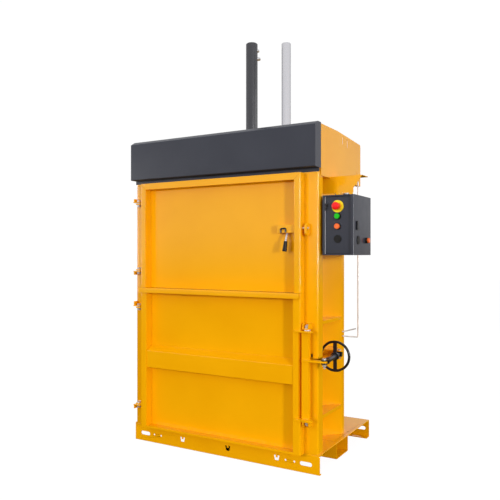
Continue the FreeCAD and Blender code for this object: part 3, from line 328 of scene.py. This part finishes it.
def block(verts, faces, x0, y0, z0, x1, y1, z1):
    i = len(verts)
    verts += [(x, y, z) for x in (x0, x1) for y in (y0, y1) for z in (z0, z1)]
    faces += [tuple(i + k for k in f) for f in ((0, 1, 3, 2), (4, 6, 7, 5), (0, 4, 5, 1), (2, 3, 7, 6), (0, 2, 6, 4), (1, 5, 7, 3))]


def blocks(name, rows, mat, body):
    verts, faces = [], []
    for row in rows:
        block(verts, faces, *row)
    return piece(name, verts, faces, mat, body, smooth=False)


# welds of the hinge lugs, the lock lugs and the latch keeper on the posts
runs = []
for z0, z1 in ((1580, 1606), (1104, 1130), (897, 929), (219, 247)):
    runs += [((-646, -0.6, z0 + 1), (-646, -0.6, z1 - 1)), ((-585, -0.6, z0 + 1), (-585, -0.6, z1 - 1)),
             ((-640, -0.6, z0), (-590, -0.6, z0)), ((-640, -0.6, z1), (-590, -0.6, z1))]
for z0, z1 in ((820, 855), (271, 306)):
    runs += [((584, -0.6, z0 + 1), (584, -0.6, z1 - 1)), ((626, -0.6, z0 + 1), (626, -0.6, z1 - 1)),
             ((588, -0.6, z0), (622, -0.6, z0)), ((588, -0.6, z1), (622, -0.6, z1))]
runs += [((595.5, -0.4, 1354), (595.5, -0.4, 1404)), ((609, -0.4, 1354), (609, -0.4, 1404))]
beads("post_welds", runs, 2.0, "frame")

# stitched welds of the ribs, the columns and the lock anchor on the walls
runs = []
for s in (-1, 1):
    for z in (304.0, 852.0, 1420.0):
        runs += stitch((535 * s, 72, z), (535 * s, 345, z))
    for y in (350, 487):
        runs += stitch((535.6 * s, y, 130), (535.6 * s, y, 1670), 45.0, 150.0)
    runs += stitch((552 * s, 33, 130), (552 * s, 33, 1670), 40.0, 160.0)
for z in (190.0, 860.0, 1240.0, 1620.0):
    runs += stitch((-528, 623, z), (528, 623, z), 40.0, 90.0)
for z in (625.5, 631.5, 660.5, 666.5):
    runs.append(((535, 270, z), (535, 344, z)))
beads("wall_welds", runs, 2.4, "frame")
runs = [((627, 444.5, z), (627, 455.5, z)) for z in (723.4, 731.6, 751.4, 759.6)]
beads("hook_welds", runs, 1.6, "frame")

# welds of the lock bar's claws and arm, and of the cover plate of the latch
runs = []
for z in (806, 320):
    runs += [((582, -47, z), (620, -47, z)), ((622, -45, z), (622, -21, z))]
for z in (641, 651):
    runs += [((622, -45, z), (622, -21, z)), ((586, -47, z), (618, -47, z))]
beads("lock_bar_welds", runs, 1.8, "lock_bar")
beads("latch_welds", [((424, -3, 1409), (536, -3, 1409)), ((422, -3, 1364), (422, -3, 1407))], 1.5, "upper_door")

# mitred corners of the upper door's frame: a fine dressed seam, a hair proud of the paint
verts, faces = [], []
for s in (-1, 1):
    for z0, z1 in ((1698.4, 1662.0),):
        x0, x1 = 571.5 * s, 539.0 * s
        i = len(verts)
        w = 0.9
        verts += [(x0 - w, -58.05, z0 - 4.6), (x0 + w, -58.05, z0 - 4.6), (x1 + w, -58.05, z1), (x1 - w, -58.05, z1),
                  (x0, -58.22, z0 - 4.6), (x1, -58.22, z1)]
        faces += [(i, i + 4, i + 5, i + 3), (i + 4, i + 1, i + 2, i + 5), (i, i + 1, i + 4), (i + 3, i + 5, i + 2), (i, i + 3, i + 2, i + 1)]
piece("mitre_seams", verts, faces, SEAM, "upper_door")

# folded dark guide behind the middle strap opening of the sill
blocks("strap_guide", [(34, 5.1, 31, 37, 44, 83), (83, 5.1, 31, 86, 44, 83), (37, 41, 31, 83, 44, 83), (37, 5.1, 31, 83, 41, 34), (37, 5.1, 80, 83, 41, 83)],
       DARK, "frame")

# dark block in the upright slot of the right post: painted shade for the slot's dark inside
# Liner block that closes the notch of the lower door's stile beside the lock bar.
blocks("notch_liner", [(547.2, -57.7, 320.3, 564.5, -2.6, 805.7)], ORANGE, "lower_door")
# Painted shade: a dark block stands for the shadowed inside of the post's slot.
blocks("slot_shade_block", [(617.2, 0.4, 661, 626.8, 3.6, 677)], DARK, "frame")

# pale seal strips on the left lip of the control box's mouth, above and below the hinge
blocks("box_seal", [(692.55, 20.5, 1243.4, 693.35, 28.6, 1484.0), (692.55, 20.5, 1526.0, 693.35, 28.6, 1562.0)],
       PALE, "frame")

# cooling fins of the pump motor behind the header
verts, faces = [], []
for k in range(10):
    x0 = -168.0 + 18.5 * k
    i = len(verts)
    n = 36
    for x in (x0, x0 + 3.0):
        for r in (59.0, 68.0):
            for j in range(n):
                t = 2 * math.pi * j / n
                verts.append((x, 205 + r * math.cos(t), 1850 + r * math.sin(t)))
    for j in range(n):
        m = (j + 1) % n
        a, b, c, d = i, i + n, i + 2 * n, i + 3 * n
        faces += [(a + j, b + j, b + m, a + m), (c + j, c + m, d + m, d + j), (b + j, d + j, d + m, b + m), (a + j, a + m, c + m, c + j)]
piece("motor_fins", verts, faces, TANK, "frame")

# ------------------------------------------------------------------ floor, light and camera
def plain(name, rgb, rough):
    m = bpy.data.materials.new(name)
    m.use_nodes = True
    b = m.node_tree.nodes["Principled BSDF"]
    b.inputs["Base Color"].default_value = rgb
    b.inputs["Roughness"].default_value = rough
    return m


bm = bmesh.new()
bmesh.ops.create_circle(bm, cap_ends=True, radius=30.0, segments=128)
me = bpy.data.meshes.new("floor")
bm.to_mesh(me)
bm.free()
floor = bpy.data.objects.new("floor", me)
floor.location = (0, 0, -0.0005)
pale = plain("pale_floor", (0.10, 0.10, 0.10, 1), 0.9)
pale.node_tree.nodes["Principled BSDF"].inputs["Specular IOR Level"].default_value = 0.0
pale.node_tree.nodes["Principled BSDF"].inputs["Emission Color"].default_value = (1, 1, 1, 1)
pale.node_tree.nodes["Principled BSDF"].inputs["Emission Strength"].default_value = 0.95
floor.data.materials.append(pale)
bpy.context.scene.collection.objects.link(floor)
floor.visible_diffuse = False
floor.visible_glossy = False

# A white backdrop all round, far off, that only stands behind the object and lights nothing.
bm = bmesh.new()
bmesh.ops.create_uvsphere(bm, u_segments=48, v_segments=24, radius=45.0)
me = bpy.data.meshes.new("backdrop")
bm.to_mesh(me)
bm.free()
backdrop = bpy.data.objects.new("backdrop", me)
white = bpy.data.materials.new("white_backdrop")
white.use_nodes = True
wn = white.node_tree
wn.nodes.remove(wn.nodes["Principled BSDF"])
em = wn.nodes.new("ShaderNodeEmission")
em.inputs["Color"].default_value = (1, 1, 1, 1)
em.inputs["Strength"].default_value = 1.02
wn.links.new(em.outputs["Emission"], wn.nodes["Material Output"].inputs["Surface"])
backdrop.data.materials.append(white)
bpy.context.scene.collection.objects.link(backdrop)
backdrop.visible_diffuse = False
backdrop.visible_glossy = False
backdrop.visible_transmission = False
backdrop.visible_shadow = False

# Soft studio surroundings: bright above, dim below the floor line, a little brighter on the front side.
world = bpy.data.worlds.new("studio")
bpy.context.scene.world = world
world.use_nodes = True
wt = world.node_tree
wb = wt.nodes["Background"]
coord = wt.nodes.new("ShaderNodeTexCoord")
split = wt.nodes.new("ShaderNodeSeparateXYZ")
wt.links.new(coord.outputs["Generated"], split.inputs["Vector"])


def sweep(socket, stops, tint=(1.0, 1.0, 1.01)):
    half = wt.nodes.new("ShaderNodeMapRange")
    half.inputs["From Min"].default_value = -1.0
    half.inputs["From Max"].default_value = 1.0
    wt.links.new(socket, half.inputs["Value"])
    r = wt.nodes.new("ShaderNodeValToRGB")
    els = r.color_ramp.elements
    while len(els) < len(stops):
        els.new(0.5)
    for e, (p, c) in zip(els, stops):
        e.position = (p + 1.0) / 2.0
        e.color = (c * tint[0], c * tint[1], c * tint[2], 1)
    wt.links.new(half.outputs["Result"], r.inputs["Fac"])
    return r.outputs["Color"]


tall = sweep(split.outputs["Z"], [(-1.0, 0.0), (-0.05, 0.0), (0.04, 1.0), (0.4, 1.0), (1.0, 0.80)])
front = wt.nodes.new("ShaderNodeVectorMath")
front.operation = "DOT_PRODUCT"
front.inputs[1].default_value = (0.5029, -0.8643, 0.0)
wt.links.new(coord.outputs["Generated"], front.inputs[0])
deep = sweep(front.outputs["Value"], [(-1.0, 0.76), (-0.4, 0.78), (0.3, 0.97), (1.0, 1.0)])
mix = wt.nodes.new("ShaderNodeMix")
mix.data_type = "RGBA"
mix.blend_type = "MULTIPLY"
mix.inputs["Factor"].default_value = 1.0
wt.links.new(tall, mix.inputs["A"])
wt.links.new(deep, mix.inputs["B"])
# Below the floor line a little warm light stands for what the painted steel throws back from under the machine.
low = sweep(split.outputs["Z"], [(-1.0, 1.0), (-0.06, 1.0), (0.02, 0.0)], (0.22, 0.135, 0.012))
both = wt.nodes.new("ShaderNodeMix")
both.data_type = "RGBA"
both.blend_type = "ADD"
both.inputs["Factor"].default_value = 1.0
wt.links.new(mix.outputs["Result"], both.inputs["A"])
wt.links.new(low, both.inputs["B"])
wt.links.new(both.outputs["Result"], wb.inputs["Color"])
wb.inputs["Strength"].default_value = 0.864


def area(name, place, target, size, watts, colour=(1, 1, 1)):
    d = bpy.data.lights.new(name, "AREA")
    d.shape = "RECTANGLE"
    d.size, d.size_y = size
    d.energy = watts
    d.color = colour
    o = bpy.data.objects.new(name, d)
    o.location = place
    o.rotation_euler = (Vector(target) - Vector(place)).to_track_quat("-Z", "Y").to_euler()
    bpy.context.scene.collection.objects.link(o)
    o.visible_glossy = False
    return o


area("key_right", (8.01, -5.085, 1.8), (0, -0.4, 1.3), (0.8, 0.9), 360)
area("key_front", (-0.17 * 7.0, -0.4 - 0.98 * 7.0, 2.3), (0, -0.4, 1.2), (1.3, 1.3), 136)
area("fill_left", (-6.0, 1.5, 3.0), (0, 0, 1.2), (2.5, 2.5), 48)
area("fill_back", (2.5, 6.5, 3.2), (0, 0, 1.2), (2.5, 2.5), 48)
area("fill_right", (8.0, 1.2, 1.4), (0, 0, 0.9), (3.0, 2.0), 36)

# Softboxes that only show as highlights in the paint. Bare metal is left out of them.
lit = bpy.data.collections.new("highlight_receivers")
bpy.context.scene.collection.children.link(lit)
for n, o in NODES.items():
    if n not in ("piston_rod", "guide_rod", "frame_bolts", "latch_rod", "latch_lever", "fork_bolt", "cylinder_ports"):
        lit.objects.link(o)
for name, place, size, watts in (("glint_right", (8.01, -5.085, 1.6), (1.0, 2.2), 520), ("glint_left", (-6.4, -5.0, 1.7), (1.6, 2.4), 140),
                                 ("glint_side", (7.8, 2.3, 3.0), (9.0, 3.2), 150)):
    g = area(name, place, (0, -0.4, place[2]), size, watts)
    g.visible_glossy = True
    g.visible_diffuse = False
    g.light_linking.receiver_collection = lit

cam = bpy.data.cameras.new("camera")
cam.sensor_width = 36.0
cam.lens = 597.2 * 36.0 / 500.0
cam.shift_y = 4.0 / 500.0
camera = bpy.data.objects.new("camera", cam)
camera.location = (2.012, -3.082 - BACK, 1.242)
camera.rotation_euler = (math.radians(90), 0, math.asin(0.5029))
bpy.context.scene.collection.objects.link(camera)
bpy.context.scene.camera = camera
bpy.context.scene.view_settings.view_transform = "Standard"
